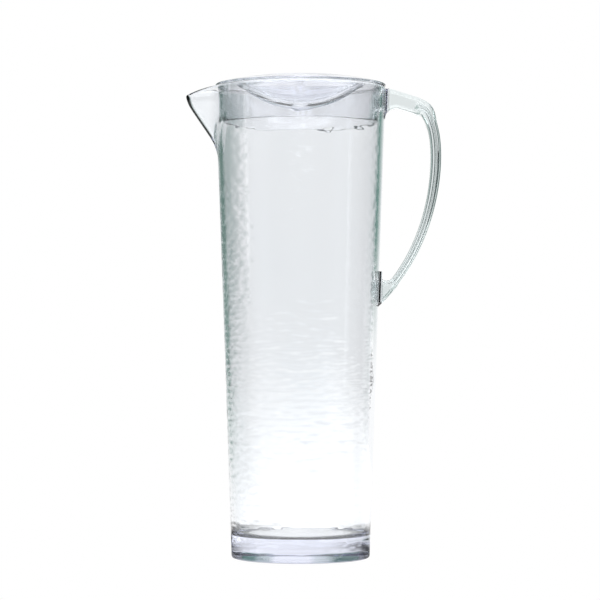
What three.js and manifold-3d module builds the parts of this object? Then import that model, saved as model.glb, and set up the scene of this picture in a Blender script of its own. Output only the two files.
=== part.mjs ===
import * as THREE from "three";
import { mergeVertices } from "three/addons/utils/BufferGeometryUtils.js";
import Module from "manifold-3d";

// Clear pitcher: a tapered jug with a drawn-out spout, a bonded handle and a lift-off lid.
// Millimetres, +Z up, origin at the centre of the underside. The spout points along -X, the handle along +X.

// Jug
const rimHeight = 320;
const rimDiameter = 116;
const baseDiameter = 94;
const wall = 3;
const floorThickness = 15.5;
const baseEdgeRadius = 1.6;
const floorFillet = 4;

// Spout
const spoutDepth = 41.5; // from the rim down to where the keel's straight line leaves the wall
const spoutReach = 20.5; // from the wall out to the tip of the lip
const keelLean = 32.8; // lean of the keel away from upright, in degrees
const keelRadius = 4;
const keelInnerRadius = 1; // round of the channel's bottom, at least
const flankAngle = 40; // plan angle between the spout's middle line and each flank, in degrees
const flankBlend = 5.2; // softness of the run from the wall into the keel and the flanks
const lipBlend = 4; // softness of the keel's turn to upright below the lip
const lipDrop = 5; // fall of the lip from the rim to the tip
const lipCurve = 1.5; // 1 is a straight fall, more keeps the lip high until near the tip

// Handle: a bar, a bend and a bow, drawn as the outer edge seen from the side
const handleWidth = 16; // over the beads
const handleTopDrop = 1.1; // from the rim down to the top of the upper foot
const handleDrop = 149.4; // from the rim down to the lowest point of the lower foot
const barLength = 20; // from the wall out to the start of the bend
const barFall = 6.6; // from the rim down to the start of the bend
const bendReach = 36.5; // from the wall out to the end of the bend
const bendDrop = 27.6; // from the rim down to the end of the bend
const bowLean = 15; // lean of the edge where the bend runs into the bow, in degrees
const footLean = 47; // lean of the edge at the lower foot, in degrees
const barPull = 15.9; // how far the curves keep to the bar's line, to the bow's lean and to the foot's lean
const bendPull = 11.7;
const bowPull = 21.5;
const footPull = 58.5;
const barThickness = 11;
const strapThickness = 7.1;
const strapEndThickness = 6;
const sideShare = 0.37; // share of the thickness that each rounded edge of a side takes
const sideDepth = 2.6; // rounded edges across the width
const beadHeight = 1.25; // bead along the middle of each side
const beadShare = 0.08; // share of the thickness that each shoulder of the bead takes
const upperFillet = 7.4;
const lowerFillet = 5;
const padHeight = 2.4; // pads on the jug that the feet are bonded to
const bondGap = 0.3;

// Lid
const lidEdge = 1.6; // thickness of the round edge that sits on the rim
const lidCrown = 7.3; // rise of the dome from the edge to the middle
const lidWall = 2.4;
const seatGap = 0.3;
const skirtDepth = 25;
const skirtWall = 2;
const skirtClearance = 0.8; // gap to the mouth just below the rim
const skirtDraft = 3.5; // lean of the skirt inwards, in degrees
const scoopRadius = 41; // half the length of the scoops at the top of the dome
const scoopDepth = 20; // from the top of the dome down to the floor of the scoops
const gripWidth = 13; // bar between the scoops
const gripDraft = 4; // lean of the bar's sides, in degrees

// Fineness of the round shapes
const spoutSpan = 32; // angle from the keel that the spout and its blend take up, in degrees
const spoutSteps = 13; // angles within that span, closest at the keel
const plainSteps = 28; // angles from there round to the handle side
const crowding = 1.5; // 1 spaces the spout's angles evenly
const spoutRings = 9;
const lipRings = 4;
const cornerRings = 4;
const handleSteps = 72;
const sideRings = 3;
const beadRings = 2;
const lidSegments = 60;
const domeRings = 8;
const bowlRings = 8;

const rad = THREE.MathUtils.degToRad;
const { lerp, smoothstep } = THREE.MathUtils;
const rimRadius = rimDiameter / 2;
const baseRadius = baseDiameter / 2;
const spoutFoot = rimHeight - spoutDepth;
const lipRadius = wall / 2;
const lidSeat = rimHeight + seatGap;
const rootDepth = 3 * wall; // how far the strap runs on into the wall before it is cut
const weldTolerance = 1e-4;

const wasm = await Module();
wasm.setup();

// Closed solid of a geometry, for joining and cutting
function solidOf(geometry) {
  const bare = new THREE.BufferGeometry();
  bare.setAttribute("position", geometry.getAttribute("position"));
  bare.setIndex(geometry.getIndex());
  const merged = mergeVertices(bare, weldTolerance);
  const corners = merged.getIndex().array;
  const kept = [];
  for (let i = 0; i < corners.length; i += 3) {
    const [a, b, c] = corners.slice(i, i + 3);
    if (a !== b && b !== c && c !== a) kept.push(a, b, c);
  }
  return new wasm.Manifold(
    new wasm.Mesh({
      numProp: 3,
      vertProperties: merged.getAttribute("position").array,
      triVerts: new Uint32Array(kept),
    }),
  );
}

function geometryOf(solid) {
  const mesh = solid.getMesh();
  const geometry = new THREE.BufferGeometry();
  geometry.setAttribute("position", new THREE.BufferAttribute(mesh.vertProperties, 3));
  geometry.setIndex(new THREE.BufferAttribute(mesh.triVerts, 1));
  geometry.computeVertexNormals();
  return geometry;
}

// Solid of revolution about Z from [radius, height] pairs that start and end on the axis, upwards on the outside
function revolve(profile) {
  const points = profile.map(([radius, height]) => new THREE.Vector2(radius, height));
  return solidOf(new THREE.LatheGeometry(points, lidSegments).rotateX(Math.PI / 2));
}

// Skin through rings with equal counts of points, closed by a pole at each end
function loft(firstPole, rings, lastPole) {
  const count = rings[0].length;
  const points = [firstPole, ...rings.flat(), lastPole];
  const index = [];
  const last = points.length - 1;
  const at = (ring, j) => 1 + ring * count + (j % count);
  for (let j = 0; j < count; j++) {
    index.push(0, at(0, j + 1), at(0, j));
    for (let i = 0; i + 1 < rings.length; i++) {
      index.push(at(i, j), at(i, j + 1), at(i + 1, j + 1));
      index.push(at(i, j), at(i + 1, j + 1), at(i + 1, j));
    }
    index.push(last, at(rings.length - 1, j), at(rings.length - 1, j + 1));
  }
  return solidOf(new THREE.BufferGeometry().setFromPoints(points).setIndex(index));
}

// The larger or the smaller of two lengths, rounded off where they come within the blend of each other
function softMax(a, b, blend) {
  const near = Math.max(blend - Math.abs(a - b), 0) / blend;
  return Math.max(a, b) + (near * near * blend) / 4;
}

function softMin(a, b, blend) {
  return -softMax(-a, -b, blend);
}

// Radius of the plain tapered wall's outer face
function wallRadius(height) {
  return baseRadius + ((rimRadius - baseRadius) * height) / rimHeight;
}

// Radius of the V of the spout at an angle from the keel: two flanks with a round keel between them
function spoutRadius(angle, height, inset) {
  const straight = (height - spoutFoot) * Math.tan(rad(keelLean));
  const tip = wallRadius(height) + softMin(straight, spoutReach, lipBlend);
  const round = Math.max(keelRadius - inset, keelInnerRadius);
  const centre = tip - keelRadius;
  const flank = rad(flankAngle);
  const turn = Math.atan2(round * Math.cos(flank), centre + round * Math.sin(flank));
  if (Math.abs(angle) < turn) {
    const across = centre * Math.sin(angle);
    return centre * Math.cos(angle) + Math.sqrt(round * round - across * across);
  }
  return (centre * Math.sin(flank) + round) / Math.sin(flank + Math.abs(angle));
}

// Radius of the jug's outer face, or of its inner face with the wall as the inset
function jugRadius(angle, height, inset) {
  const plain = wallRadius(height) - inset;
  if (Math.abs(angle) > rad(spoutSpan)) return plain;
  return softMax(plain, spoutRadius(angle, height, inset), flankBlend);
}

// Height of the lip, which falls from the rim to the spout's tip
function lipHeight(angle) {
  const beyond = jugRadius(angle, rimHeight, 0) - rimRadius;
  const share = beyond / (jugRadius(0, rimHeight, 0) - rimRadius);
  return rimHeight - lipDrop * Math.max(share, 0) ** lipCurve;
}

// Angles from the keel all the way round, close together at the spout
function jugAngles() {
  const half = [];
  const span = rad(spoutSpan);
  for (let i = 1; i <= spoutSteps; i++) half.push(span * (i / spoutSteps) ** crowding);
  for (let i = 1; i < plainSteps; i++) half.push(lerp(span, Math.PI, i / plainSteps));
  return [0, ...half, Math.PI, ...half.toReversed().map((angle) => -angle)];
}

// The jug without its pads: up the outside, over the lip and down the inside to the floor
function jugShell() {
  const angles = jugAngles();
  const ring = (radiusAt, heightAt) =>
    angles.map((angle) => {
      const radius = radiusAt(angle);
      return new THREE.Vector3(-radius * Math.cos(angle), -radius * Math.sin(angle), heightAt(angle));
    });
  const lipBase = (angle) => lipHeight(angle) - lipRadius;
  const spoutStart = spoutFoot - flankBlend / Math.tan(rad(keelLean));
  const wallRing = (share, inset) => {
    const heightAt = (angle) => lerp(spoutStart, lipBase(angle), share);
    return ring((angle) => jugRadius(angle, heightAt(angle), inset), heightAt);
  };
  const rings = [];
  for (let i = 0; i <= cornerRings; i++) {
    const turn = (Math.PI / 2) * (i / cornerRings);
    const height = baseEdgeRadius * (1 - Math.cos(turn));
    const radius = wallRadius(height) - baseEdgeRadius * (1 - Math.sin(turn));
    rings.push(ring(() => radius, () => height));
  }
  for (let i = 0; i <= spoutRings; i++) rings.push(wallRing(i / spoutRings, 0));
  for (let i = 1; i < lipRings; i++) {
    const turn = Math.PI * (i / lipRings);
    const across = (1 - Math.cos(turn)) / 2;
    const edge = (angle, inset) => jugRadius(angle, lipBase(angle), inset);
    const radiusAt = (angle) => lerp(edge(angle, 0), edge(angle, wall), across);
    rings.push(ring(radiusAt, (angle) => lipBase(angle) + lipRadius * Math.sin(turn)));
  }
  for (let i = spoutRings; i >= 0; i--) rings.push(wallRing(i / spoutRings, wall));
  for (let i = 0; i <= cornerRings; i++) {
    const turn = (Math.PI / 2) * (i / cornerRings);
    const height = floorThickness + floorFillet * (1 - Math.sin(turn));
    const radius = wallRadius(height) - wall - floorFillet * (1 - Math.cos(turn));
    rings.push(ring(() => radius, () => height));
  }
  return loft(new THREE.Vector3(0, 0, 0), rings, new THREE.Vector3(0, 0, floorThickness));
}

// Solid cone that follows the wall's outer face at a distance
function wallCone(distance) {
  const low = -wall;
  const high = rimHeight + wall;
  return revolve([
    [0, low],
    [wallRadius(low) + distance, low],
    [wallRadius(high) + distance, high],
    [0, high],
  ]);
}

// Outer edge of the handle seen from the side, from inside the wall at the top to inside the wall at the foot
function handleEdge() {
  const at = (reach, drop) => new THREE.Vector2(wallRadius(rimHeight - drop) + reach, rimHeight - drop);
  const leaning = (degrees) => new THREE.Vector2(Math.sin(rad(degrees)), -Math.cos(rad(degrees)));
  const root = at(padHeight, handleTopDrop);
  const barEnd = at(barLength, barFall);
  const bendEnd = at(bendReach, bendDrop);
  const foot = at(0, handleDrop);
  const barLine = barEnd.clone().sub(root).normalize();
  const bow = leaning(bowLean);
  const footLine = leaning(-footLean);
  const edge = new THREE.Path();
  const curve = (start, startLine, startPull, endLine, endPull, end) => {
    const leave = start.clone().addScaledVector(startLine, startPull);
    const arrive = end.clone().addScaledVector(endLine, -endPull);
    edge.bezierCurveTo(...leave, ...arrive, ...end);
  };
  edge.moveTo(...at(-rootDepth, handleTopDrop));
  edge.lineTo(...root);
  edge.lineTo(...barEnd);
  curve(barEnd, barLine, barPull, bow, bendPull, bendEnd);
  curve(bendEnd, bow, bowPull, footLine, footPull, foot);
  edge.lineTo(...foot.clone().addScaledVector(footLine, rootDepth / Math.sin(rad(footLean))));
  return edge.getSpacedPoints(handleSteps);
}

// Thickness of the strap at a drop below the rim: thick along the bar, thinner down the bow
function thicknessAt(drop) {
  const strap = lerp(strapThickness, strapEndThickness, smoothstep(drop, bendDrop, handleDrop));
  return lerp(barThickness, strap, smoothstep(drop, barFall, bendDrop));
}

// Stations down the strap: a point on each edge, seen from the side, and the directions out of the strap there
function strapStations() {
  const edge = handleEdge();
  const stations = edge.map((outer, i) => {
    const along = edge[Math.min(i + 1, edge.length - 1)].clone().sub(edge[Math.max(i - 1, 0)]);
    const outward = new THREE.Vector2(-along.y, along.x).normalize();
    const thickness = thicknessAt(rimHeight - outer.y);
    const inner = outer.clone().addScaledVector(outward, -thickness);
    return { outer, outward, inner, inward: outward.clone().negate(), thickness };
  });

  // A fillet touches the inner edge and the wall: it starts at the last station whose circle clears the wall
  const centreAt = ({ inner, inward }, radius) => inner.clone().addScaledVector(inward, radius);
  const clears = (radius) => (station) => {
    const centre = centreAt(station, radius);
    return centre.x - wallRadius(centre.y) > radius - bondGap;
  };
  const bendToWall = (root, tangent, radius) => {
    const centre = centreAt(tangent, radius);
    const start = tangent.outward.angle();
    const outside = root.filter(({ outer }) => outer.x - wallRadius(outer.y) > -bondGap);
    outside.forEach((station, i) => {
      const turn = lerp(start, Math.PI, (i + 1) / outside.length);
      station.inward = new THREE.Vector2(-Math.cos(turn), -Math.sin(turn));
      station.inner = centre.clone().addScaledVector(station.inward, -radius);
    });
    const end = outside.at(-1);
    const inside = root.slice(outside.length);
    inside.forEach((station, i) => {
      station.inward = end.inward;
      station.inner = new THREE.Vector2(end.inner.x - (rootDepth * (i + 1)) / inside.length, end.inner.y);
    });
  };
  const first = stations.findIndex(clears(upperFillet));
  const last = stations.findLastIndex(clears(lowerFillet));
  bendToWall(stations.slice(0, first).toReversed(), stations[first], upperFillet);
  bendToWall(stations.slice(last + 1), stations[last], lowerFillet);
  return stations;
}

// Closed ring of the strap's section at a station: rounded sides with a bead along the middle of each
function strapRing({ outer, outward, inner, inward, thickness }) {
  const halfWidth = handleWidth / 2 - beadHeight;
  const inset = sideShare * thickness;
  const shoulder = beadShare * thickness;
  const quarter = [];
  for (let i = 0; i <= sideRings; i++) {
    const turn = (Math.PI / 2) * (i / sideRings);
    quarter.push([halfWidth - sideDepth * (1 - Math.sin(turn)), inset * (1 - Math.cos(turn))]);
  }
  for (let i = 1; i <= beadRings; i++) {
    const turn = (Math.PI / 2) * (i / beadRings);
    quarter.push([halfWidth + beadHeight * Math.sin(turn), inset + shoulder * (1 - Math.cos(turn))]);
  }
  const corner = (edge, out, side) =>
    quarter.map(([across, depth]) => {
      const seen = edge.clone().addScaledVector(out, -depth);
      return new THREE.Vector3(seen.x, side * across, seen.y);
    });
  return [
    ...corner(outer, outward, -1),
    ...corner(inner, inward, -1).toReversed(),
    ...corner(inner, inward, 1),
    ...corner(outer, outward, 1).toReversed(),
  ];
}

// The whole strap, run on into the wall at both feet
function strap() {
  const stations = strapStations();
  const middle = ({ outer, inner }) => new THREE.Vector3((outer.x + inner.x) / 2, 0, (outer.y + inner.y) / 2);
  return loft(middle(stations[0]), stations.map(strapRing), middle(stations.at(-1)));
}

// The strap's roots, up to the bond faces, are pads moulded on the jug
function jugBody() {
  const pads = strap().intersect(wallCone(padHeight)).subtract(wallCone(-wall / 2));
  return jugShell().add(pads);
}

function handle() {
  return strap().subtract(wallCone(padHeight + bondGap));
}

// Height of the dome's outer face at a radius
function domeHeight(radius) {
  return lidSeat + lidEdge + lidCrown * (1 - (radius / rimRadius) ** 2);
}

// Dome with its round edge and its skirt
function lidCap() {
  const edgeRadius = lidEdge / 2;
  const skirtTop = rimRadius - wall - skirtClearance;
  const skirtBottom = skirtTop - skirtDepth * Math.tan(rad(skirtDraft));
  const skirtEnd = lidSeat - skirtDepth;
  const profile = [];
  for (let i = 0; i <= domeRings; i++) {
    const radius = ((skirtTop - skirtWall) * i) / domeRings;
    profile.push([radius, domeHeight(radius) - lidWall]);
  }
  profile.push([skirtBottom - skirtWall, skirtEnd + skirtWall / 2]);
  profile.push([skirtBottom - skirtWall / 2, skirtEnd]);
  profile.push([skirtBottom, skirtEnd + skirtWall / 2]);
  profile.push([skirtTop, lidSeat]);
  for (let i = 0; i <= cornerRings; i++) {
    const turn = Math.PI * (i / cornerRings - 0.5);
    const radius = rimRadius - edgeRadius + edgeRadius * Math.cos(turn);
    profile.push([radius, lidSeat + edgeRadius * (1 + Math.sin(turn))]);
  }
  for (let i = domeRings - 1; i >= 0; i--) {
    const radius = ((rimRadius - edgeRadius) * i) / domeRings;
    profile.push([radius, domeHeight(radius)]);
  }
  return revolve(profile);
}

// Everything under the middle of the dome's thickness, down to the end of the skirt
function belowDome() {
  const floor = lidSeat - skirtDepth;
  const profile = [[0, floor], [rimRadius, floor]];
  for (let i = domeRings; i >= 0; i--) {
    const radius = (rimRadius * i) / domeRings;
    profile.push([radius, domeHeight(radius) - lidWall / 2]);
  }
  return revolve(profile);
}

// Half of a round bowl, on one side of the grip bar, grown outwards by a thickness
function scoop(side, thickness) {
  const lip = domeHeight(scoopRadius);
  const floor = domeHeight(0) - scoopDepth;
  const bowlRadius = (scoopRadius ** 2 + (lip - floor) ** 2) / (2 * (lip - floor));
  const centre = floor + bowlRadius;
  const radius = bowlRadius + thickness;
  const top = domeHeight(0) + lidWall;
  const sweep = Math.acos((centre - top) / radius);
  const profile = [];
  for (let i = 0; i <= bowlRings; i++) {
    const turn = (sweep * i) / bowlRings;
    profile.push([radius * Math.sin(turn), centre - radius * Math.cos(turn)]);
  }
  profile.push([0, top]);
  const half = new THREE.BoxGeometry(rimDiameter, rimDiameter, rimDiameter);
  half.translate(0, rimDiameter / 2, 0).rotateX(rad(gripDraft));
  half.translate(0, gripWidth / 2 - thickness, domeHeight(0));
  if (side < 0) half.rotateZ(Math.PI);
  return revolve(profile).intersect(solidOf(half));
}

// The scoops keep the lid's wall under them, so the grip bar is hollow from below
function lid() {
  const sides = [1, -1];
  const shells = sides.map((side) => scoop(side, lidWall).intersect(belowDome()));
  const hollows = sides.map((side) => scoop(side, 0));
  const joined = shells.reduce((body, shell) => body.add(shell), lidCap());
  return hollows.reduce((body, hollow) => body.subtract(hollow), joined);
}

// Assembly
const clearPlastic = { color: 0xe6ecec, roughness: 0.06, metalness: 0, transparent: true, opacity: 0.35 };
const palePlastic = { color: 0xe8ebf5, roughness: 0.05, metalness: 0, transparent: true, opacity: 0.4 };

function piece(name, solid, look) {
  const mesh = new THREE.Mesh(geometryOf(solid), new THREE.MeshStandardMaterial(look));
  mesh.name = name;
  return mesh;
}

const pitcher = new THREE.Group();
pitcher.add(piece("jug_body", jugBody(), clearPlastic));
pitcher.add(piece("handle", handle(), palePlastic));
pitcher.add(piece("lid", lid(), palePlastic));

export default pitcher;
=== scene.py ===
import math

import bmesh
import bpy
import numpy as np
from mathutils import Matrix


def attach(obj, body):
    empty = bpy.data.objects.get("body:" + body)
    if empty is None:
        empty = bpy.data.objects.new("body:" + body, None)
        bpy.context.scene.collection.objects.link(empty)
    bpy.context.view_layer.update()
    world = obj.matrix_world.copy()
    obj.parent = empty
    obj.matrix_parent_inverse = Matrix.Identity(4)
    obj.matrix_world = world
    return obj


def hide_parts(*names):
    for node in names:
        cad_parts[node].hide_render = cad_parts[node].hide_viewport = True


# Clear pitcher: fine surfaces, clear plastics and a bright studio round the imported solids.
# Metres, +Z up, origin at the centre of the underside. The spout points along -X, the handle along +X.

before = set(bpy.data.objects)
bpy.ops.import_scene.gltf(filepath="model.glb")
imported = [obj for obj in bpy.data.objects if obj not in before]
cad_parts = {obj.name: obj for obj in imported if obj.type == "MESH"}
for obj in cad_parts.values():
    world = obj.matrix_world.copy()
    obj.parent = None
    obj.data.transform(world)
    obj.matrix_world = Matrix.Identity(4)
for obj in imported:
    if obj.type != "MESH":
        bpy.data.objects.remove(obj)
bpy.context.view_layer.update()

MM = 0.001

# Jug
RIM_HEIGHT = 320 * MM
RIM_RADIUS = 58 * MM
BASE_RADIUS = 47 * MM
WALL = 3 * MM
FLOOR_THICKNESS = 15.5 * MM
BASE_EDGE_RADIUS = 1.6 * MM
FLOOR_FILLET = 4 * MM

# Spout
SPOUT_FOOT = RIM_HEIGHT - 41.5 * MM
SPOUT_REACH = 20.5 * MM
SPOUT_SPAN = math.radians(32)
KEEL_LEAN = math.radians(32.8)
KEEL_RADIUS = 4 * MM
KEEL_INNER_RADIUS = 1 * MM
FLANK_ANGLE = math.radians(40)
FLANK_BLEND = 5.2 * MM
LIP_BLEND = 4 * MM
LIP_DROP = 5 * MM
LIP_CURVE = 1.5

# Hammered relief of the outer wall, with pairs of lengths or angles between which it fades
CELLS_AROUND = 35
CELL_HEIGHT = 3.8 * MM
CELL_ASPECT = 2.5
CELL_SCATTER = 0.36
CELL_DEPTH = 0.11 * MM
CELL_SOFTNESS = 1 * MM
CELL_REACH = CELL_HEIGHT / math.sqrt(2)
RELIEF_SEED = 11
RELIEF_FAINTEST = 1e-9
RELIEF_LOW = (3 * MM, 12 * MM)
RELIEF_HIGH = (286 * MM, 306 * MM)
RELIEF_BESIDE_SPOUT = (SPOUT_SPAN, 1.25 * SPOUT_SPAN)
RELIEF_BELOW_SPOUT = (SPOUT_FOOT - 30 * MM, SPOUT_FOOT - 12 * MM)
RELIEF_BESIDE_HANDLE = (13 * MM, 26 * MM)

# Handle: drops are measured down from the rim, reaches out from the wall, and pulls make the curves full
HANDLE_WIDTH = 16 * MM
HANDLE_TOP_DROP = 1.1 * MM
HANDLE_DROP = 149.4 * MM
BAR_LENGTH = 20 * MM
BAR_FALL = 6.6 * MM
BEND_REACH = 36.5 * MM
BEND_DROP = 27.6 * MM
BOW_LEAN = math.radians(15)
FOOT_LEAN = math.radians(47)
BAR_PULL = 15.9 * MM
BEND_PULL = 11.7 * MM
BOW_PULL = 21.5 * MM
FOOT_PULL = 58.5 * MM
BAR_THICKNESS = 11 * MM
STRAP_THICKNESS = 7.1 * MM
STRAP_END_THICKNESS = 6 * MM
UPPER_FILLET = 7.4 * MM
LOWER_FILLET = 5 * MM

# Handle's rounded sides and bead: shares are of the strap's thickness, the least is of the bead's height
SIDE_SHARE = 0.33
SIDE_DEPTH = 2.6 * MM
BAR_SIDE_SHARE = 0.2
BAR_SIDE_DEPTH = 1.2 * MM
BEAD_HEIGHT = 1.6 * MM
BEAD_SHARE = 0.15
BEAD_LEAST = 0.05
BEAD_RUN_IN = 3.5 * MM

# Pads on the wall, the bond between them and the handle, and the heights of the roots' fillets
PAD_HEIGHT = 2.4 * MM
BOND_GAP = 0.3 * MM
ROOT_DEPTH = 3 * WALL
ROOT_FILLET = PAD_HEIGHT
UPPER_ROOT = (303.3 * MM, 318.3 * MM)
LOWER_ROOT = (173.5 * MM, 194.5 * MM)

# Lid
LID_SEAT = RIM_HEIGHT + 0.3 * MM
LID_EDGE = 1.6 * MM
LID_CROWN = 7.3 * MM
LID_WALL = 2.4 * MM
BOWL_WALL = 3.4 * MM
SKIRT_DEPTH = 25 * MM
SKIRT_WALL = 2 * MM
SKIRT_CLEARANCE = 0.8 * MM
SKIRT_DRAFT = math.radians(3.5)
SKIRT_CORNER = 1.2 * MM
SEAT_CORNER = SKIRT_CORNER / 2
SCOOP_RADIUS = 41 * MM
SCOOP_DEPTH = 20 * MM
SCOOP_FILLET = 2.2 * MM
SCOOP_BLEND = 1.4 * MM
GRIP_HALF_WIDTH = 6.5 * MM
GRIP_DRAFT = math.radians(4)
GRIP_ROUND = 0.9 * MM
LEAST_SINK = 0.001 * MM

# Fineness of the jug and the handle
SPOUT_COLUMNS = 44
SPOUT_CROWDING = 1.4
PLAIN_COLUMNS = 104
CONE_COLUMNS = 360
WALL_STEP = 0.85 * MM
INNER_STEP = 5 * MM
ROUND_STEPS = 8
CURVE_POINTS = 80
HANDLE_STATIONS = 300
SHARP_EDGE = math.radians(35)

# Fineness of the lid: shares are of the grip bar's half width, the cap is of a ring's radius
BAR_COLUMNS = 5
SCOOP_COLUMNS = 24
BAR_REACH_CAP = (0.9, 0.995)
FIRST_RING_SHARE = 0.2
EVEN_SHARE = 1 / 3
SPLIT_SHARE = 0.8
LIP_INSIDE = SCOOP_RADIUS - 2 * SCOOP_BLEND
LIP_OUTSIDE = SCOOP_RADIUS + 2.5 * SCOOP_BLEND
DOME_MARGIN = 0.3 * MM
MIDDLE_RINGS = 5
BOWL_RINGS = 16
LIP_RINGS = 12
DOME_RINGS = 8
SKIRT_INNER_ROWS = 6
SKIRT_OUTER_ROWS = 5
LID_SHARP_EDGE = math.radians(50)

# Plastics: flow marks in gloss and tint, and a soft ripple, with noise scales per metre
PLASTIC_IOR = 1.49
FLOW_STRETCH = (1, 1, 0.35)
FLOW_SCALE = 28
FLOW_DETAIL = 3
GLOSS_RANGE = (0.3, 0.75)
ROUGHNESS = (0, 0.02)
TINT_RANGE = (0.35, 0.7)
RIPPLE_SCALE = 90
RIPPLE_DETAIL = 1
RIPPLE_DEPTH = 0.3 * MM

# Studio: ends of the even cards, the disc of light under the base and the table's thin layers
FULL_WIDTH = (-3, 3)
SWEEP_RISE = (-0.2, 2.8)
TABLE_RUN = (-2.3, 3)
# Ends of the dark card under the base, a painted contact shadow
CONTACT_SHADE_SPAN = (-0.05, 0.05)
CONTACT_LIGHT_RADIUS = 0.037
CONTACT_LIGHT_CORNERS = 48
FLAG_WIDTH = (-1, 1)
FLAG_RISE = (-0.3, 2.5)
CEILING_WIDTH = (-0.1, 1.6)
CEILING_RUN = (-1.2, 1.2)
TOP_BOX_WIDTH = (-0.8, 0.8)
TOP_BOX_RISE = (0.84, 1.3)
LEFT_BOX_WIDTH = (-0.06, 0.06)
LEFT_BOX_RISE = (0.15, 1.35)
TABLE_HEIGHT = -1.5 * MM
TABLE_LAYER = 0.1 * MM

# Studio: marks of (place, share of the light) from one end of an uneven card to the other
SHADE = np.array([1.0, 0.86, 0.9])
BLUISH = np.array([0.7, 0.85, 1.0])
FAR_LEFT = ((-3, 0.75 * SHADE), (-1.1, 0.7 * SHADE), (-0.75, 0))
HIGH_LEFT = ((-3, 0.5 * SHADE), (-0.72, 0.45 * SHADE), (-0.39, 0.28 * SHADE), (-0.22, 0))
HIGH_RIGHT = ((0.7, 0), (0.95, 0.45 * SHADE), (1.4, 0.55 * SHADE), (1.7, 0.85 * SHADE), (3, 0.92 * SHADE))
WHOLE_RISE = ((-0.2, 1), (2.8, 1))
UPPER_RISE = ((0.02, 0), (0.3, 1), (2.8, 1))
TABLE_BACK_WIDTH = ((-1.5, 1 - 0.5 * SHADE), (-0.7, 1 - 0.5 * SHADE), (-0.2, 1), (1.5, 1))
TABLE_BACK_RUN = ((-0.4, 0), (0, 1), (3, 1))
TABLE_FRONT_WIDTH = ((-1.5, 0.2), (-0.6, 0.75), (-0.3, 1), (0.8, 1), (1.5, 0.3))
TABLE_FRONT_RUN = (
    (-2.3, 0), (-1.75, 0.05 * BLUISH), (-1.3, 0.35 * BLUISH), (-0.8, 0.9), (-0.4, 1),
    (-0.2, 0.85), (-0.05, 0.45), (0.05, 0.12), (0.12, 0),
)
TABLE_RIGHT_WIDTH = ((0.15, 0), (0.4, 1), (1, 1), (1.5, 0.3))
TABLE_RIGHT_RUN = ((-0.2, 0), (0, 1), (0.4, 1), (0.8, 0))
SHADOW_LEFT_WIDTH = ((-0.2, 0), (-0.12, 1), (-0.08, 1), (-0.05, 0.75), (-0.02, 0.2), (0.02, 0))
SHADOW_LEFT_RUN = ((-0.05, 0.6), (0.03, 1), (0.08, 0.95), (0.12, 0.85), (0.16, 0.5), (0.22, 0))
SHADOW_RIGHT_WIDTH = ((0.02, 0), (0.05, 0.8), (0.08, 1), (0.12, 1), (0.2, 0))
SHADOW_RIGHT_RUN = ((-0.05, 0.6), (0.03, 1), (0.06, 0.9), (0.09, 0.6), (0.12, 0.2), (0.2, 0))
BOUNCE_WIDTH = ((-0.7, 1), (0.7, 1))
BOUNCE_RISE = ((-0.35, 1), (0, 1), (0.2, 0))

# Surroundings and camera: a level side view whose lens and place follow from the photo's perspective
SURROUNDINGS = (0.2, 0.21, 0.22)
BACKGROUND = (1, 1, 1)
CAMERA_DISTANCE = 1.541
CAMERA_HEIGHT = 0.155
CAMERA_SIDE = -0.0004
CAMERA_RANGE = 50
PHOTO_PIXELS = 600
PIXEL_AT_AXIS = 0.6816 * MM
HORIZON_BELOW_MIDDLE = 29.6
SENSOR = 36
BOUNCES = 24
GLOSSY_BOUNCES = 12


def soft_max(a, b, blend):
    """The larger of two lengths, rounded off where they come within the blend of each other."""
    near = np.maximum(blend - np.abs(a - b), 0) / blend
    return np.maximum(a, b) + near * near * blend / 4


def soft_min(a, b, blend):
    return -soft_max(-a, -b, blend)


def smooth_step(value, low, high):
    share = np.clip((value - low) / (high - low), 0, 1)
    return share * share * (3 - 2 * share)


def lerp(a, b, share):
    return a + (b - a) * share


# Meshes

def around(count):
    """Turns of equal steps once round the axis."""
    return np.linspace(0, 2 * math.pi, count, endpoint=False)


def ring(turns, radius, height):
    """Points at turns round the axis."""
    return np.stack([radius * np.cos(turns), radius * np.sin(turns), height + 0 * turns], axis=1)


def loft(rings, first_pole=None, last_pole=None):
    """Points and faces of a skin through closed rings, with flat ends or with a pole at each end."""
    rings = np.asarray(rings, float)
    count, columns, _ = rings.shape
    points = rings.reshape(-1, 3).tolist()
    here = np.arange(count * columns).reshape(count, columns)
    beside = np.roll(here, -1, axis=1)
    quads = np.stack([here[:-1], beside[:-1], beside[1:], here[1:]], axis=-1)
    faces = quads.reshape(-1, 4).tolist()
    if first_pole is None:
        faces.append(here[0, ::-1].tolist())
        faces.append(here[-1].tolist())
        return points, faces
    first = len(points)
    points.append(list(first_pole))
    points.append(list(last_pole))
    faces += [[first, b, a] for a, b in zip(here[0].tolist(), beside[0].tolist())]
    faces += [[first + 1, a, b] for a, b in zip(here[-1].tolist(), beside[-1].tolist())]
    return points, faces


def mesh_object(name, points, faces):
    mesh = bpy.data.meshes.new(name)
    mesh.from_pydata(points, [], faces)
    shape = bmesh.new()
    shape.from_mesh(mesh)
    bmesh.ops.recalc_face_normals(shape, faces=shape.faces)
    shape.to_mesh(mesh)
    shape.free()
    obj = bpy.data.objects.new(name, mesh)
    bpy.context.scene.collection.objects.link(obj)
    return obj


def cut_or_join(obj, tool, operation):
    """Applies a boolean to obj and removes the tool."""
    modifier = obj.modifiers.new("shape", "BOOLEAN")
    modifier.operation = operation
    modifier.solver = "MANIFOLD"
    modifier.object = tool
    bpy.context.view_layer.update()
    shaped = obj.evaluated_get(bpy.context.evaluated_depsgraph_get())
    mesh = bpy.data.meshes.new_from_object(shaped)
    obj.modifiers.clear()
    obj.data = mesh
    bpy.data.objects.remove(tool)


def shade(obj, sharp_angle):
    obj.data.shade_smooth()
    obj.data.set_sharp_from_angle(angle=sharp_angle)


# Jug: angles are measured from the keel of the spout

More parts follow.
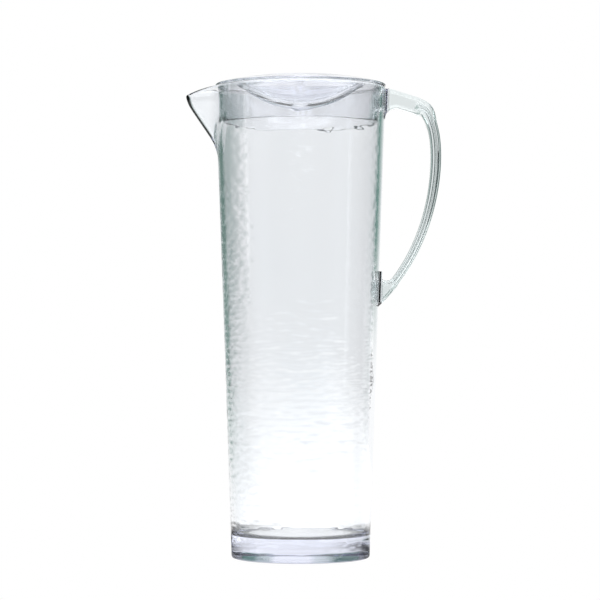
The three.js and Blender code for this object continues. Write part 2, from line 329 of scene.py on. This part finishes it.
def wall_radius(height):
    return BASE_RADIUS + (RIM_RADIUS - BASE_RADIUS) * height / RIM_HEIGHT


def spout_radius(angle, height, inset):
    """Radius of the V of the spout: two flanks with a round keel between them."""
    straight = (height - SPOUT_FOOT) * math.tan(KEEL_LEAN)
    tip = wall_radius(height) + soft_min(straight, SPOUT_REACH, LIP_BLEND)
    keel = max(KEEL_RADIUS - inset, KEEL_INNER_RADIUS)
    centre = tip - KEEL_RADIUS
    flank_cos, flank_sin = math.cos(FLANK_ANGLE), math.sin(FLANK_ANGLE)
    turn = np.arctan2(keel * flank_cos, centre + keel * flank_sin)
    across = centre * np.sin(angle)
    on_keel = centre * np.cos(angle) + np.sqrt(np.maximum(keel * keel - across * across, 0))
    flank_turn = FLANK_ANGLE + np.minimum(np.abs(angle), SPOUT_SPAN)
    on_flank = (centre * flank_sin + keel) / np.sin(flank_turn)
    return np.where(np.abs(angle) < turn, on_keel, on_flank)


def jug_radius(angle, height, inset):
    """Radius of the jug's outer face, or of its inner face with the wall as the inset."""
    plain = wall_radius(height) - inset
    spout = soft_max(plain, spout_radius(angle, height, inset), FLANK_BLEND)
    return np.where(np.abs(angle) > SPOUT_SPAN, plain, spout)


def lip_height(angle):
    """The lip falls from the rim to the spout's tip."""
    beyond = jug_radius(angle, RIM_HEIGHT, 0) - RIM_RADIUS
    tip = jug_radius(np.zeros(1), RIM_HEIGHT, 0) - RIM_RADIUS
    return RIM_HEIGHT - LIP_DROP * np.maximum(beyond / tip, 0) ** LIP_CURVE


def jug_angles():
    """Angles from the keel all the way round, close together at the spout."""
    spout = SPOUT_SPAN * np.linspace(0, 1, SPOUT_COLUMNS + 1) ** SPOUT_CROWDING
    plain = np.linspace(SPOUT_SPAN, math.pi, PLAIN_COLUMNS + 1)
    half = np.concatenate([spout, plain[1:]])
    return np.concatenate([half, -half[-2:0:-1]])


def relief(angle, height):
    """Depth of the hammered relief: shallow dimples in scattered rows that meet in soft ridges."""
    rows = int(RIM_HEIGHT / CELL_HEIGHT) + 2
    draws = np.random.default_rng(RELIEF_SEED)
    scatter = draws.uniform(-CELL_SCATTER, CELL_SCATTER, (rows, CELLS_AROUND, 2))
    cell_turn = 2 * math.pi / CELLS_AROUND
    row = np.floor(height / CELL_HEIGHT).astype(int)
    total = np.zeros_like(angle)
    for step in (-1, 0, 1):
        near_row = np.clip(row + step, 0, rows - 1)
        shift = 0.5 * (near_row % 2)
        column = np.floor(angle / cell_turn - shift).astype(int)
        for side in (-1, 0, 1):
            near_column = column + side
            move = scatter[near_row, near_column % CELLS_AROUND]
            centre_angle = (near_column + 0.5 + shift + move[..., 0]) * cell_turn
            centre_height = (near_row + 0.5 + move[..., 1]) * CELL_HEIGHT
            across = (angle - centre_angle) * wall_radius(height) / CELL_ASPECT
            along = height - centre_height
            total += np.exp(-(across * across + along * along) / CELL_SOFTNESS ** 2)
    squared_distance = CELL_SOFTNESS ** 2 * -np.log(np.maximum(total, RELIEF_FAINTEST))
    return CELL_DEPTH * np.clip(1 - squared_distance / CELL_REACH ** 2, 0, 1)


def relief_mask(angle, height):
    """The relief fades out at the base, the rim, the spout and a strip along the handle's side."""
    mask = smooth_step(height, *RELIEF_LOW) * (1 - smooth_step(height, *RELIEF_HIGH))
    beside_spout = smooth_step(np.abs(angle), *RELIEF_BESIDE_SPOUT)
    below_spout = 1 - smooth_step(height, *RELIEF_BELOW_SPOUT)
    mask = mask * np.maximum(beside_spout, below_spout)
    reach = (math.pi - np.abs(angle)) * wall_radius(height)
    return mask * smooth_step(reach, *RELIEF_BESIDE_HANDLE)


def jug_rings():
    """Up the outside, over the lip and down the inside to the floor."""
    angles = jug_angles()
    lip_radius = WALL / 2
    lip_base = lip_height(angles) - lip_radius
    spout_start = SPOUT_FOOT - FLANK_BLEND / math.tan(KEEL_LEAN)
    spout_height = RIM_HEIGHT - spout_start
    floor_top = FLOOR_THICKNESS + FLOOR_FILLET
    rings = []

    def add(radius, height):
        rings.append(ring(angles, -radius, height))

    def rows(start, end, count):
        """Heights all the way round, in rows from start to end."""
        return [lerp(start, end, share) + 0 * angles for share in np.linspace(0, 1, round(count))]

    for turn in np.linspace(0, math.pi / 2, ROUND_STEPS):
        height = BASE_EDGE_RADIUS * (1 - math.cos(turn))
        add(wall_radius(height) - BASE_EDGE_RADIUS * (1 - math.sin(turn)), height)

    heights = rows(BASE_EDGE_RADIUS, spout_start, (spout_start - BASE_EDGE_RADIUS) / WALL_STEP)[1:]
    heights += rows(spout_start, lip_base, spout_height / WALL_STEP)[1:]
    for height in heights:
        dent = relief(angles, height) * relief_mask(angles, height)
        add(jug_radius(angles, height, 0) - dent, height)

    outer = jug_radius(angles, lip_base, 0)
    inner = jug_radius(angles, lip_base, WALL)
    for turn in np.linspace(0, math.pi, 2 * ROUND_STEPS)[1:-1]:
        across = (1 - math.cos(turn)) / 2
        add(lerp(outer, inner, across), lip_base + lip_radius * math.sin(turn))

    heights = rows(lip_base, spout_start, 2 * spout_height / INNER_STEP)
    heights += rows(spout_start, floor_top, (spout_start - floor_top) / INNER_STEP)[1:-1]
    for height in heights:
        add(jug_radius(angles, height, WALL), height)

    for turn in np.linspace(0, math.pi / 2, ROUND_STEPS):
        height = FLOOR_THICKNESS + FLOOR_FILLET * (1 - math.sin(turn))
        add(wall_radius(height) - WALL - FLOOR_FILLET * (1 - math.cos(turn)), height)
    return rings


def wall_cone(name, distance):
    """Solid cone that follows the wall's outer face at a distance."""
    turns = around(CONE_COLUMNS)
    rings = []
    for height in (-WALL, RIM_HEIGHT + WALL):
        rings.append(ring(turns, wall_radius(height) + distance, height))
    return mesh_object(name, *loft(rings))


# Handle: the strap is drawn seen from the side, as (distance from the axis, height)

def curve(start, leave, arrive, end):
    """Cubic curve from start to end, drawn towards two points on its way."""
    share = np.linspace(0, 1, CURVE_POINTS)[:, None]
    rest = 1 - share
    by_start = rest ** 3 * start + 3 * rest ** 2 * share * leave
    by_end = 3 * rest * share ** 2 * arrive + share ** 3 * end
    return by_start + by_end


def evenly(points, count):
    """Points at equal steps along a line of points."""
    steps = np.linalg.norm(np.diff(points, axis=0), axis=1)
    along = np.concatenate([[0], np.cumsum(steps)])
    wanted = np.linspace(0, along[-1], count)
    return np.stack([np.interp(wanted, along, points[:, k]) for k in range(2)], axis=1)


def handle_edge():
    """Outer edge seen from the side, from inside the wall at the top to inside the wall at the foot."""
    def at(reach, drop):
        return np.array([wall_radius(RIM_HEIGHT - drop) + reach, RIM_HEIGHT - drop])

    root = at(PAD_HEIGHT, HANDLE_TOP_DROP)
    bar_end = at(BAR_LENGTH, BAR_FALL)
    bend_end = at(BEND_REACH, BEND_DROP)
    foot = at(0, HANDLE_DROP)
    bar_line = (bar_end - root) / np.linalg.norm(bar_end - root)
    bow = np.array([math.sin(BOW_LEAN), -math.cos(BOW_LEAN)])
    foot_line = np.array([-math.sin(FOOT_LEAN), -math.cos(FOOT_LEAN)])
    points = [at(-ROOT_DEPTH, HANDLE_TOP_DROP), root]
    points += list(curve(bar_end, bar_end + bar_line * BAR_PULL, bend_end - bow * BEND_PULL, bend_end))
    points += list(curve(bend_end, bend_end + bow * BOW_PULL, foot - foot_line * FOOT_PULL, foot))[1:]
    points.append(foot + foot_line * ROOT_DEPTH / math.sin(FOOT_LEAN))
    return evenly(np.array(points), HANDLE_STATIONS)


def outward_of(points):
    """Unit normals on the left of a line of points."""
    along = np.gradient(points, axis=0)
    normal = np.stack([-along[:, 1], along[:, 0]], axis=1)
    return normal / np.linalg.norm(normal, axis=1, keepdims=True)


def strap_thickness(drop):
    strap_part = lerp(STRAP_THICKNESS, STRAP_END_THICKNESS, smooth_step(drop, BEND_DROP, HANDLE_DROP))
    return lerp(BAR_THICKNESS, strap_part, smooth_step(drop, BAR_FALL, BEND_DROP))


def strap_edges():
    """Outer and inner edge as matched points, with their normals out of the strap."""
    outer = handle_edge()
    outward = outward_of(outer)
    inner = outer - outward * strap_thickness(RIM_HEIGHT - outer[:, 1])[:, None]
    inward = -outward

    def fillet(stations, tangent, radius):
        """Bends the inner edge round a fillet to the wall and straight on into it."""
        centre = inner[tangent] - outward[tangent] * radius
        start = math.atan2(outward[tangent][1], outward[tangent][0]) % (2 * math.pi)
        reach = outer[stations][:, 0] - wall_radius(outer[stations][:, 1])
        bent = stations[reach > -BOND_GAP]
        inside = stations[reach <= -BOND_GAP]
        for count, station in enumerate(bent, start=1):
            turn = lerp(start, math.pi, count / len(bent))
            inward[station] = [-math.cos(turn), -math.sin(turn)]
            inner[station] = centre - radius * inward[station]
        for count, station in enumerate(inside, start=1):
            inward[station] = inward[bent[-1]]
            inner[station] = inner[bent[-1]] - np.array([ROOT_DEPTH * count / len(inside), 0])

    def clears(radius):
        """Stations whose inner edge leaves room for a fillet beside the wall."""
        centre = inner - outward * radius
        return np.flatnonzero(centre[:, 0] - wall_radius(centre[:, 1]) > radius - BOND_GAP)

    first = clears(UPPER_FILLET)[0]
    last = clears(LOWER_FILLET)[-1]
    fillet(np.arange(first - 1, -1, -1), first, UPPER_FILLET)
    fillet(np.arange(last + 1, len(outer)), last, LOWER_FILLET)
    return outer, outward, inner, inward


def side_section(drop):
    """From the middle of an edge round to the top of a side's bead, as (distance across, inset)."""
    thickness = strap_thickness(drop)
    on_bow = smooth_step(drop, BAR_FALL, BAR_FALL + BEAD_RUN_IN)
    half_width = HANDLE_WIDTH / 2 - BEAD_HEIGHT
    bead_height = BEAD_HEIGHT * max(on_bow, BEAD_LEAST)
    inset = lerp(BAR_SIDE_SHARE, SIDE_SHARE, on_bow) * thickness
    depth = lerp(BAR_SIDE_DEPTH, SIDE_DEPTH, on_bow)
    shoulder = BEAD_SHARE * thickness
    turns = np.linspace(0, math.pi / 2, ROUND_STEPS)
    rise, run = np.sin(turns), 1 - np.cos(turns)
    side = np.stack([half_width - depth * (1 - rise), inset * run], axis=1)
    bead = np.stack([half_width + bead_height * rise, inset + shoulder * run], axis=1)
    return np.concatenate([[[0, 0]], side, bead[1:]])


def strap(name):
    """The whole strap with its rounded sides and their beads, run on into the wall at both feet."""
    outer, outward, inner, inward = strap_edges()
    rings = []
    for i in range(len(outer)):
        half = side_section(RIM_HEIGHT - outer[i, 1])
        across = np.concatenate([-half[:0:-1, 0], half[:, 0]])
        inset = np.concatenate([half[:0:-1, 1], half[:, 1]])
        top = outer[i] - outward[i] * inset[:, None]
        bottom = inner[i] - inward[i] * inset[::-1, None]
        seen = np.concatenate([top, bottom])
        width = np.concatenate([across, across[::-1]])
        rings.append(np.stack([seen[:, 0], width, seen[:, 1]], axis=1))
    return mesh_object(name, *loft(rings))


def root_fillet(name, low, high):
    """Round fillets on both sides of a pad, where it grows out of the wall."""
    turns = np.linspace(0, math.pi / 2, 2 * ROUND_STEPS)
    across = HANDLE_WIDTH / 2 + ROOT_FILLET * (1 - np.sin(turns))
    reach = ROOT_FILLET * (1 - np.cos(turns))
    rings = []
    for height in (low, high):
        wall = np.sqrt(wall_radius(height) ** 2 - across ** 2)
        seen = np.concatenate([[wall[0] - WALL / 2], wall + reach])
        side = np.concatenate([[across[0]], across])
        outline = np.concatenate([np.stack([seen, side], axis=1), np.stack([seen, -side], axis=1)[::-1]])
        rings.append(np.column_stack([outline, np.full(len(outline), height)]))
    return mesh_object(name, *loft(rings))


# Lid

def dome_height(radius):
    return LID_SEAT + LID_EDGE + LID_CROWN * (1 - (radius / (RIM_RADIUS - LID_EDGE / 2)) ** 2)


def bowl_height(radius, thickness):
    """Height of the scoops' round bowl, grown outwards by a thickness."""
    lip = dome_height(SCOOP_RADIUS)
    floor = dome_height(0) - SCOOP_DEPTH
    bowl = (SCOOP_RADIUS ** 2 + (lip - floor) ** 2) / (2 * (lip - floor))
    return floor + bowl - math.sqrt(max((bowl + thickness) ** 2 - radius ** 2, 0))


def round_corner(before, corner, after, radius):
    """Points of an arc that rounds a corner of an outline."""
    to_before = (before - corner) / np.linalg.norm(before - corner)
    to_after = (after - corner) / np.linalg.norm(after - corner)
    middle = (to_before + to_after) / np.linalg.norm(to_before + to_after)
    half = math.acos(np.clip(to_before @ to_after, -1, 1)) / 2
    length = radius / math.tan(half)
    centre = corner + middle * radius / math.sin(half)
    start = corner + to_before * length - centre
    end = corner + to_after * length - centre
    sweep = math.acos(np.clip(start @ end / radius ** 2, -1, 1))
    points = []
    for share in np.linspace(0, 1, ROUND_STEPS):
        spoke = math.sin((1 - share) * sweep) * start + math.sin(share * sweep) * end
        points.append(centre + spoke / math.sin(sweep))
    return points


def bar_profile(half_width, top, floor, top_round, floor_round):
    """Side of the grip bar from its top to the scoop's floor, as (distance from the middle, height)."""
    sink = max(top - floor, LEAST_SINK)
    ease = min(1, sink / (2 * (top_round + floor_round)))
    crest = np.array([half_width, top])
    heel = np.array([half_width + sink * math.tan(GRIP_DRAFT), top - sink])
    ahead = np.array([half_width, 0])
    points = round_corner(crest - ahead, crest, heel, top_round * ease)
    points += round_corner(crest, heel, heel + ahead, floor_round * ease)
    points = np.array(points)
    spread = half_width + np.linspace(-top_round, floor_round, len(points))
    points[:, 0] = lerp(spread, points[:, 0], ease)
    return points


def lid_ring(radius, half_width, top, floor, top_round, floor_round):
    """Closed ring of the lid's face: over the grip bar, down its sides and round the scoops."""
    side = bar_profile(half_width, top, floor, top_round, floor_round)
    bar = np.linspace(0, 1, BAR_COLUMNS + 1)[:-1]
    reach = np.minimum(side[:, 0] / radius, np.linspace(*BAR_REACH_CAP, len(side)))
    reach = np.concatenate([bar * reach[0], reach])
    angle = np.arcsin(reach)
    scoop = np.linspace(angle[-1], math.pi / 2, SCOOP_COLUMNS + 1)[1:]
    angle = np.concatenate([angle, scoop])
    even = np.linspace(0, math.pi / 2, len(angle))
    angle = lerp(even, angle, smooth_step(radius, EVEN_SHARE * half_width, SPLIT_SHARE * half_width))
    height = np.interp(radius * np.sin(angle), side[:, 0], side[:, 1])
    turns = [angle, math.pi - angle[-2::-1], math.pi + angle[1:], 2 * math.pi - angle[-2:0:-1]]
    heights = [height, height[-2::-1], height[1:], height[-2:0:-1]]
    return ring(np.concatenate(turns), radius, np.concatenate(heights))


def face_radii(half_width, floor_round, last):
    """Radii of the rings of a face, close together at the bar's side and at the scoops' lip."""
    heel = half_width + SCOOP_DEPTH * math.tan(GRIP_DRAFT)
    side = bar_profile(half_width, SCOOP_DEPTH, 0, GRIP_ROUND, floor_round)[:, 0]
    middle = np.linspace(FIRST_RING_SHARE * half_width, side[0], MIDDLE_RINGS)[:-1]
    bowl = np.linspace(heel + floor_round, LIP_INSIDE, BOWL_RINGS)[1:]
    lip = np.linspace(LIP_INSIDE, LIP_OUTSIDE, LIP_RINGS)[1:]
    dome = np.linspace(LIP_OUTSIDE, last, DOME_RINGS)[1:]
    return np.concatenate([middle, side, bowl, lip, dome])


def arc(radius, height, size, start, end, steps):
    """Points of (radius, height) on an arc of a size round a centre, from one turn to another."""
    turns = np.linspace(start, end, steps)
    return [(radius + size * math.cos(turn), height + size * math.sin(turn)) for turn in turns]


def skirt_side(top_radius, start, end, rows):
    """Points of (radius, height) along a drafted side of the skirt, between its ends."""
    heights = np.linspace(start, end, rows)[1:-1]
    return [(top_radius - max(LID_SEAT - height, 0) * math.tan(SKIRT_DRAFT), height) for height in heights]


def skirt_profile(inner_top, outer_top):
    """From the underside of the dome down and up the skirt and round the lid's edge, as (radius, height)."""
    corner_radius = inner_top - SKIRT_CORNER
    corner_height = dome_height(corner_radius) - LID_WALL - SKIRT_CORNER
    half = SKIRT_WALL / 2
    end_radius = outer_top - SKIRT_DEPTH * math.tan(SKIRT_DRAFT) - half
    end_height = LID_SEAT - SKIRT_DEPTH + half
    seat_height = LID_SEAT - SEAT_CORNER
    edge = LID_EDGE / 2
    edge_radius = RIM_RADIUS - edge
    edge_slope = math.atan(2 * LID_CROWN / edge_radius)
    quarter = math.pi / 2
    points = arc(corner_radius, corner_height, SKIRT_CORNER, quarter, 0, ROUND_STEPS)[1:]
    points += skirt_side(inner_top, corner_height, end_height, SKIRT_INNER_ROWS)
    points += arc(end_radius, end_height, half, 2 * quarter, 4 * quarter, 2 * ROUND_STEPS)
    points += skirt_side(outer_top, end_height, seat_height, SKIRT_OUTER_ROWS)
    points += arc(outer_top + SEAT_CORNER, seat_height, SEAT_CORNER, 2 * quarter, quarter, ROUND_STEPS // 2)
    points += arc(edge_radius, LID_SEAT + edge, edge, -quarter, quarter - edge_slope, 2 * ROUND_STEPS)
    return points


def lid_rings():
    """Out along the underside, down and up the skirt, round the edge and in over the dome."""
    hollow_half_width = GRIP_HALF_WIDTH - LID_WALL
    outer_top = RIM_RADIUS - WALL - SKIRT_CLEARANCE
    inner_top = outer_top - SKIRT_WALL
    dome_end = RIM_RADIUS - LID_EDGE / 2 - DOME_MARGIN
    rings = []
    for radius in face_radii(hollow_half_width, GRIP_ROUND, inner_top - SKIRT_CORNER):
        top = dome_height(radius) - LID_WALL
        floor = soft_min(top, bowl_height(radius, BOWL_WALL), SCOOP_BLEND)
        rings.append(lid_ring(radius, hollow_half_width, top, floor, GRIP_ROUND / 2, GRIP_ROUND))
    for radius, height in skirt_profile(inner_top, outer_top):
        rings.append(lid_ring(radius, GRIP_HALF_WIDTH, height, height, GRIP_ROUND, SCOOP_FILLET))
    for radius in face_radii(GRIP_HALF_WIDTH, SCOOP_FILLET, dome_end)[::-1]:
        top = dome_height(radius)
        floor = soft_min(top, bowl_height(radius, 0), SCOOP_BLEND)
        rings.append(lid_ring(radius, GRIP_HALF_WIDTH, top, floor, GRIP_ROUND, SCOOP_FILLET))
    return rings


# Materials

def ramp(nodes, stops):
    """Colour ramp through stops of (position, colour)."""
    node = nodes.new("ShaderNodeValToRGB")
    elements = node.color_ramp.elements
    elements[0].position = stops[0][0]
    elements[1].position = stops[-1][0]
    for position, _ in stops[1:-1]:
        elements.new(position)
    for element, (_, colour) in zip(elements, stops):
        element.color = (*colour, 1)
    return node


def noise(nodes, links, place, scale, detail):
    node = nodes.new("ShaderNodeTexNoise")
    node.inputs["Scale"].default_value = scale
    node.inputs["Detail"].default_value = detail
    links.new(place, node.inputs["Vector"])
    return node.outputs["Fac"]


def clear_plastic(name, tint, deep_tint, absorb, density, ripple):
    """Clear moulded plastic: faint flow marks in the gloss and the tint, and a tinted inside."""
    material = bpy.data.materials.new(name)
    material.use_nodes = True
    nodes, links = material.node_tree.nodes, material.node_tree.links
    shader = nodes["Principled BSDF"]
    shader.inputs["Transmission Weight"].default_value = 1
    shader.inputs["IOR"].default_value = PLASTIC_IOR
    place = nodes.new("ShaderNodeTexCoord")
    stretch = nodes.new("ShaderNodeMapping")
    stretch.inputs["Scale"].default_value = FLOW_STRETCH
    links.new(place.outputs["Object"], stretch.inputs["Vector"])
    stretched = stretch.outputs["Vector"]

    flow = noise(nodes, links, stretched, FLOW_SCALE, FLOW_DETAIL)
    gloss = nodes.new("ShaderNodeMapRange")
    gloss.inputs["From Min"].default_value = GLOSS_RANGE[0]
    gloss.inputs["From Max"].default_value = GLOSS_RANGE[1]
    gloss.inputs["To Min"].default_value = ROUGHNESS[0]
    gloss.inputs["To Max"].default_value = ROUGHNESS[1]
    links.new(flow, gloss.inputs["Value"])
    links.new(gloss.outputs["Result"], shader.inputs["Roughness"])
    colour = ramp(nodes, list(zip(TINT_RANGE, (tint, deep_tint))))
    links.new(flow, colour.inputs["Fac"])
    links.new(colour.outputs["Color"], shader.inputs["Base Color"])

    wave = nodes.new("ShaderNodeBump")
    wave.inputs["Strength"].default_value = ripple
    wave.inputs["Distance"].default_value = RIPPLE_DEPTH
    links.new(noise(nodes, links, stretched, RIPPLE_SCALE, RIPPLE_DETAIL), wave.inputs["Height"])
    links.new(wave.outputs["Normal"], shader.inputs["Normal"])

    inside = nodes.new("ShaderNodeVolumeAbsorption")
    inside.inputs["Color"].default_value = (*absorb, 1)
    inside.inputs["Density"].default_value = density
    links.new(inside.outputs["Volume"], nodes["Material Output"].inputs["Volume"])
    return material


def bare_material(name):
    material = bpy.data.materials.new(name)
    material.use_nodes = True
    material.node_tree.nodes.remove(material.node_tree.nodes["Principled BSDF"])
    return material, material.node_tree.nodes, material.node_tree.links


def stops(marks):
    """Ramp stops from marks of (place, share) that run from one end of a card to the other."""
    low, high = marks[0][0], marks[-1][0]
    return [((place - low) / (high - low), np.broadcast_to(share, 3)) for place, share in marks]


def spread_of(nodes, links, across, along):
    """Product of the shares of the light across a card and along it."""
    place = nodes.new("ShaderNodeTexCoord")
    split = nodes.new("ShaderNodeSeparateXYZ")
    links.new(place.outputs["Generated"], split.inputs["Vector"])
    product = nodes.new("ShaderNodeVectorMath")
    product.operation = "MULTIPLY"
    for axis, marks in enumerate((across, along)):
        fade = ramp(nodes, stops(marks))
        links.new(split.outputs[axis], fade.inputs["Fac"])
        links.new(fade.outputs["Color"], product.inputs[axis])
    return product.outputs["Vector"]


def glow(name, strength):
    """Evenly lit card."""
    material, nodes, links = bare_material(name)
    light = nodes.new("ShaderNodeEmission")
    light.inputs["Color"].default_value = (1, 1, 1, 1)
    light.inputs["Strength"].default_value = strength
    links.new(light.outputs["Emission"], nodes["Material Output"].inputs["Surface"])
    return material


def pool(name, strength, across, along):
    """Pool of light that is added to what lies behind it."""
    material, nodes, links = bare_material(name)
    light = nodes.new("ShaderNodeEmission")
    light.inputs["Strength"].default_value = strength
    links.new(spread_of(nodes, links, across, along), light.inputs["Color"])
    through = nodes.new("ShaderNodeBsdfTransparent")
    both = nodes.new("ShaderNodeAddShader")
    links.new(light.outputs["Emission"], both.inputs[0])
    links.new(through.outputs["BSDF"], both.inputs[1])
    links.new(both.outputs["Shader"], nodes["Material Output"].inputs["Surface"])
    return material


def scrim(name, across, along):
    """Clear sheet that takes away the share of the light that its marks give."""
    material, nodes, links = bare_material(name)
    left = nodes.new("ShaderNodeVectorMath")
    left.operation = "SUBTRACT"
    left.inputs[0].default_value = (1, 1, 1)
    links.new(spread_of(nodes, links, across, along), left.inputs[1])
    sheet = nodes.new("ShaderNodeBsdfTransparent")
    links.new(left.outputs["Vector"], sheet.inputs["Color"])
    links.new(sheet.outputs["BSDF"], nodes["Material Output"].inputs["Surface"])
    return material


# Pieces

def finish_piece(obj, material, node, body):
    obj.data.materials.clear()
    obj.data.materials.append(material)
    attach(obj, body)
    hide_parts(node)


def make_jug():
    jug = mesh_object("jug", *loft(jug_rings(), (0, 0, 0), (0, 0, FLOOR_THICKNESS)))
    pads = strap("pads")
    cut_or_join(pads, wall_cone("pad_face", PAD_HEIGHT), "INTERSECT")
    cut_or_join(pads, wall_cone("pad_root", -WALL / 2), "DIFFERENCE")
    cut_or_join(jug, pads, "UNION")
    cut_or_join(jug, root_fillet("upper_root", *UPPER_ROOT), "UNION")
    cut_or_join(jug, root_fillet("lower_root", *LOWER_ROOT), "UNION")
    shade(jug, SHARP_EDGE)
    return jug


def make_handle():
    handle = strap("strap_handle")
    cut_or_join(handle, wall_cone("bond", PAD_HEIGHT + BOND_GAP), "DIFFERENCE")
    shade(handle, SHARP_EDGE)
    return handle


def make_lid():
    top = dome_height(0)
    lid = mesh_object("crowned_lid", *loft(lid_rings(), (0, 0, top - LID_WALL), (0, 0, top)))
    shade(lid, LID_SHARP_EDGE)
    return lid


wall_plastic = clear_plastic(
    "clear_wall",
    tint=(0.97, 0.982, 0.993),
    deep_tint=(0.955, 0.972, 0.985),
    absorb=(0, 0.1, 0.64),
    density=2.6,
    ripple=0.03,
)
handle_plastic = clear_plastic(
    "clear_handle",
    tint=(0.97, 0.985, 0.98),
    deep_tint=(0.96, 0.975, 0.97),
    absorb=(0.22, 0.4, 0.43),
    density=20,
    ripple=0.02,
)
lid_plastic = clear_plastic(
    "clear_lid",
    tint=(0.99, 0.99, 1),
    deep_tint=(0.98, 0.98, 0.995),
    absorb=(0.3, 0.45, 0.75),
    density=5,
    ripple=0.03,
)
finish_piece(make_jug(), wall_plastic, "jug_body", "jug")
finish_piece(make_handle(), handle_plastic, "handle", "jug")
finish_piece(make_lid(), lid_plastic, "lid", "lid")


# Studio: cards that glow or take light, seen only in reflections and refractions, before a white background

def standing(distance, heading=0):
    """Place of an upright card behind the axis, turned about the axis by a heading in degrees."""
    turn = Matrix.Rotation(math.radians(heading), 4, "Z")
    return turn @ Matrix.Translation((0, distance, 0)) @ Matrix.Rotation(math.pi / 2, 4, "X")


def lying(height, behind=0):
    """Place of a flat card."""
    return Matrix.Translation((0, behind, height))


def on_table(layer, behind=0):
    """Place of a flat card in one of the thin layers on the table."""
    return lying(TABLE_HEIGHT + layer * TABLE_LAYER, behind)


def stage_card(name, corners, place, material):
    """Flat card that the camera doesn't see and that casts no shadow."""
    obj = mesh_object(name, corners, [list(range(len(corners)))])
    obj.matrix_world = place
    obj.data.materials.append(material)
    obj.visible_camera = False
    obj.visible_shadow = False


def corners_of(across, along):
    """Corners of a card from its two ends across and its two ends along."""
    (left, right), (near, far) = across, along
    return [(left, near, 0), (right, near, 0), (right, far, 0), (left, far, 0)]


def ends(marks):
    return marks[0][0], marks[-1][0]


def glow_card(name, across, along, place, strength):
    """Even card between two ends across and two ends along."""
    stage_card(name, corners_of(across, along), place, glow(name, strength))


def pool_card(name, across, along, place, strength):
    """Card of added light between the first and last marks."""
    stage_card(name, corners_of(ends(across), ends(along)), place, pool(name, strength, across, along))


def scrim_card(name, across, along, place):
    """Card that takes light between the first and last marks."""
    stage_card(name, corners_of(ends(across), ends(along)), place, scrim(name, across, along))


def glow_disc(name, radius, place, strength):
    """Even round card."""
    stage_card(name, ring(around(CONTACT_LIGHT_CORNERS), radius, 0), place, glow(name, strength))


glow_card("sweep", FULL_WIDTH, SWEEP_RISE, standing(distance=3), strength=1)
scrim_card("scrim_far_left", FAR_LEFT, WHOLE_RISE, standing(distance=2.9))
scrim_card("scrim_high_left", HIGH_LEFT, UPPER_RISE, standing(distance=2.85))
scrim_card("scrim_high_right", HIGH_RIGHT, UPPER_RISE, standing(distance=2.85))

glow_card("table", FULL_WIDTH, TABLE_RUN, on_table(layer=0), strength=0.2)
pool_card("table_back", TABLE_BACK_WIDTH, TABLE_BACK_RUN, on_table(layer=1), strength=0.8)
pool_card("table_front", TABLE_FRONT_WIDTH, TABLE_FRONT_RUN, on_table(layer=2), strength=3)
pool_card("table_right", TABLE_RIGHT_WIDTH, TABLE_RIGHT_RUN, on_table(layer=3), strength=0.9)
scrim_card("shadow_left", SHADOW_LEFT_WIDTH, SHADOW_LEFT_RUN, on_table(layer=4))
scrim_card("shadow_right", SHADOW_RIGHT_WIDTH, SHADOW_RIGHT_RUN, on_table(layer=4))
# Dark card under the base: a painted contact shadow on the table, seen through the base
glow_card("contact", CONTACT_SHADE_SPAN, CONTACT_SHADE_SPAN, on_table(layer=6), strength=0.1)
glow_disc("contact_light", CONTACT_LIGHT_RADIUS, on_table(layer=7, behind=0.013), strength=0.75)

pool_card("bounce_right", BOUNCE_WIDTH, BOUNCE_RISE, standing(distance=2.5, heading=-55), strength=0.9)
glow_card("flag_front", FULL_WIDTH, FLAG_RISE, standing(distance=-2.6), strength=0.12)
glow_card("flag_left", FLAG_WIDTH, FLAG_RISE, standing(distance=2.3, heading=80), strength=0.02)
glow_card("flag_right", FLAG_WIDTH, FLAG_RISE, standing(distance=2.6, heading=-80), strength=0.02)
glow_card("ceiling", CEILING_WIDTH, CEILING_RUN, lying(height=2), strength=1.2)
glow_card("softbox_top", TOP_BOX_WIDTH, TOP_BOX_RISE, standing(distance=-2.4), strength=3.5)
glow_card("softbox_left", LEFT_BOX_WIDTH, LEFT_BOX_RISE, standing(distance=1.6, heading=99), strength=1.4)


def studio_world(dim, background):
    """Dim surroundings for reflections and refractions, with a plain background behind the object."""
    world = bpy.data.worlds.new("studio")
    world.use_nodes = True
    nodes, links = world.node_tree.nodes, world.node_tree.links
    surround = nodes["Background"]
    surround.inputs["Color"].default_value = (*dim, 1)
    behind = nodes.new("ShaderNodeBackground")
    behind.inputs["Color"].default_value = (*background, 1)
    path = nodes.new("ShaderNodeLightPath")
    choice = nodes.new("ShaderNodeMixShader")
    links.new(path.outputs["Is Camera Ray"], choice.inputs["Fac"])
    links.new(surround.outputs["Background"], choice.inputs[1])
    links.new(behind.outputs["Background"], choice.inputs[2])
    links.new(choice.outputs["Shader"], nodes["World Output"].inputs["Surface"])
    return world


def level_camera():
    """Level side view, with the horizon below the middle of the picture."""
    view = bpy.data.cameras.new("camera")
    view.sensor_width = SENSOR
    view.lens = SENSOR * CAMERA_DISTANCE / (PHOTO_PIXELS * PIXEL_AT_AXIS)
    view.shift_y = HORIZON_BELOW_MIDDLE / PHOTO_PIXELS
    view.clip_end = CAMERA_RANGE
    camera = bpy.data.objects.new("camera", view)
    camera.location = (CAMERA_SIDE, -CAMERA_DISTANCE, CAMERA_HEIGHT)
    camera.rotation_euler = (math.pi / 2, 0, 0)
    bpy.context.scene.collection.objects.link(camera)
    return camera


scene = bpy.context.scene
scene.world = studio_world(SURROUNDINGS, BACKGROUND)
scene.camera = level_camera()
scene.view_settings.view_transform = "Standard"
scene.cycles.max_bounces = BOUNCES
scene.cycles.transmission_bounces = BOUNCES
scene.cycles.glossy_bounces = GLOSSY_BOUNCES
